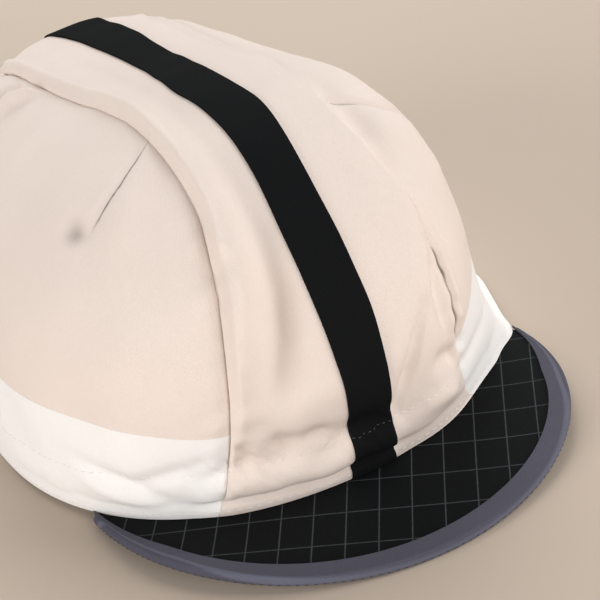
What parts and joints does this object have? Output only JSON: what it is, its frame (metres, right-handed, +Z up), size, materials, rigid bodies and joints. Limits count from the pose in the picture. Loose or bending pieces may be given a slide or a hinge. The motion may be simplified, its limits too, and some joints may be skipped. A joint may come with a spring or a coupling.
{
  "type": "cycling cap",
  "caption": "Soft cycling cap with a rounded crown sewn from panels, paler side bands, a dark tape over the middle and a short peak bound with tape.",
  "frame": {"origin": "on the table under the middle of the whole cap's box", "axes": "+Z up, the peak points towards -Y, the wearer's left is at +X"},
  "size_m": [0.1674, 0.2618, 0.1038],
  "materials": {
    "panel_cotton": "matt cotton twill, warm beige",
    "band_cotton": "matt cotton twill, off-white",
    "tape_twill": "matt black tape",
    "peak_cloth": "matt black cloth with a thin check",
    "binding_tape": "matt slate tape"
  },
  "bodies": {
    "root": {"centre_panel": "panel_cotton", "side_panel_right": "panel_cotton", "side_panel_left": "panel_cotton", "side_band_right": "band_cotton", "side_band_left": "band_cotton", "centre_tape": "tape_twill", "peak": "peak_cloth", "peak_binding": "binding_tape"}
  },
  "joints": []
}
